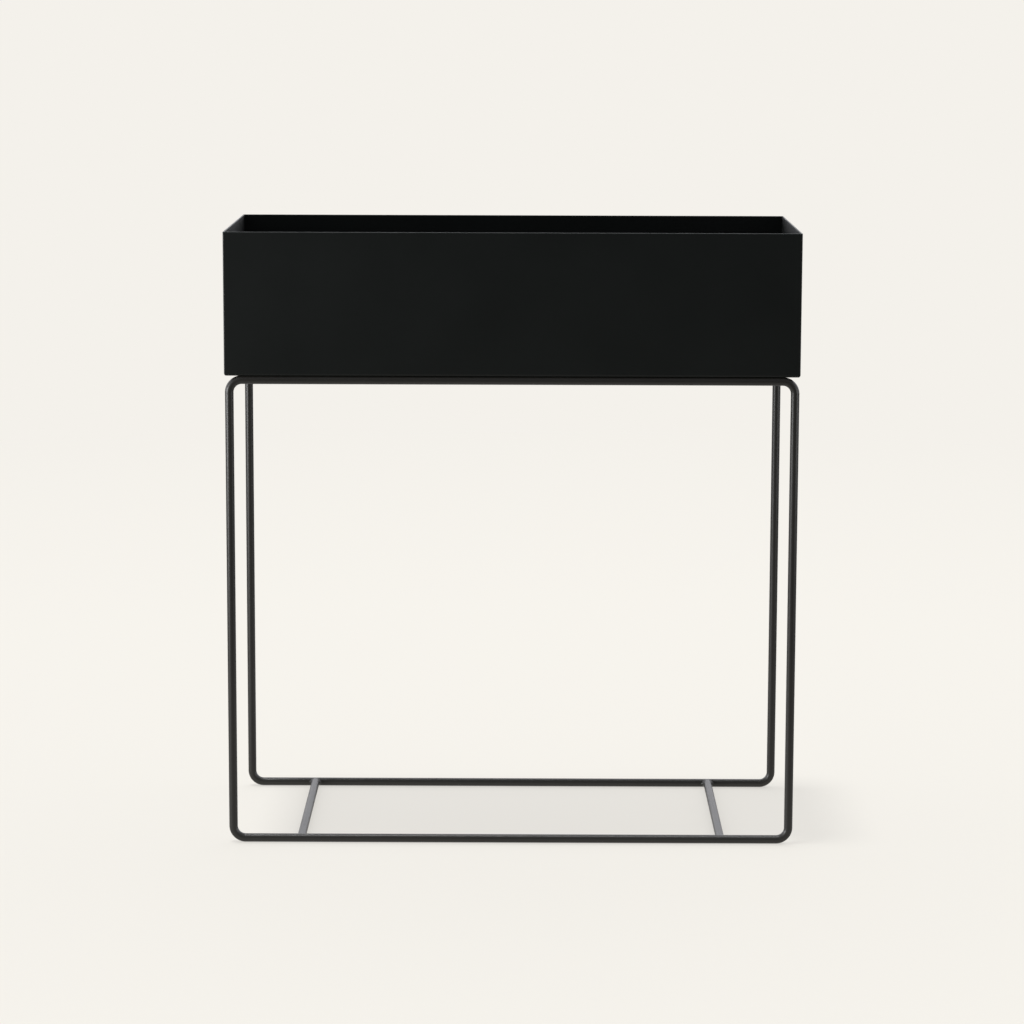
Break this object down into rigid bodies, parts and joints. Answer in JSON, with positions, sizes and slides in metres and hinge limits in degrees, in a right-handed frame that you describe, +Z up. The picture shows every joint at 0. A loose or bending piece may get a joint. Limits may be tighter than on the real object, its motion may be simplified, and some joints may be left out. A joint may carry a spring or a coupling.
{
  "type": "raised planter",
  "caption": "Rectangular sheet-steel plant tray raised on a slim stand of bent round rod, with crossbars at floor level.",
  "frame": {"origin": "on the floor, below the middle of the tray", "axes": "+Z up, +X to the right along the tray's length, the front faces -Y"},
  "size_m": [0.6, 0.25, 0.65],
  "materials": {
    "tray_coat": "fine matt black powder coat",
    "stand_coat": "satin black powder coat",
    "zinc_steel": "bright zinc plate"
  },
  "bodies": {
    "root": {"planter_tray": "tray_coat", "corner_welds": "tray_coat", "front_loop": "stand_coat", "rear_loop": "stand_coat", "left_crossbar": "stand_coat", "right_crossbar": "stand_coat", "crossbar_welds": "stand_coat", "front_left_tab": "stand_coat", "front_right_tab": "stand_coat", "rear_left_tab": "stand_coat", "rear_right_tab": "stand_coat", "tab_welds": "stand_coat", "tray_studs": "zinc_steel", "stud_washers": "zinc_steel", "stud_nuts": "zinc_steel"}
  },
  "joints": []
}
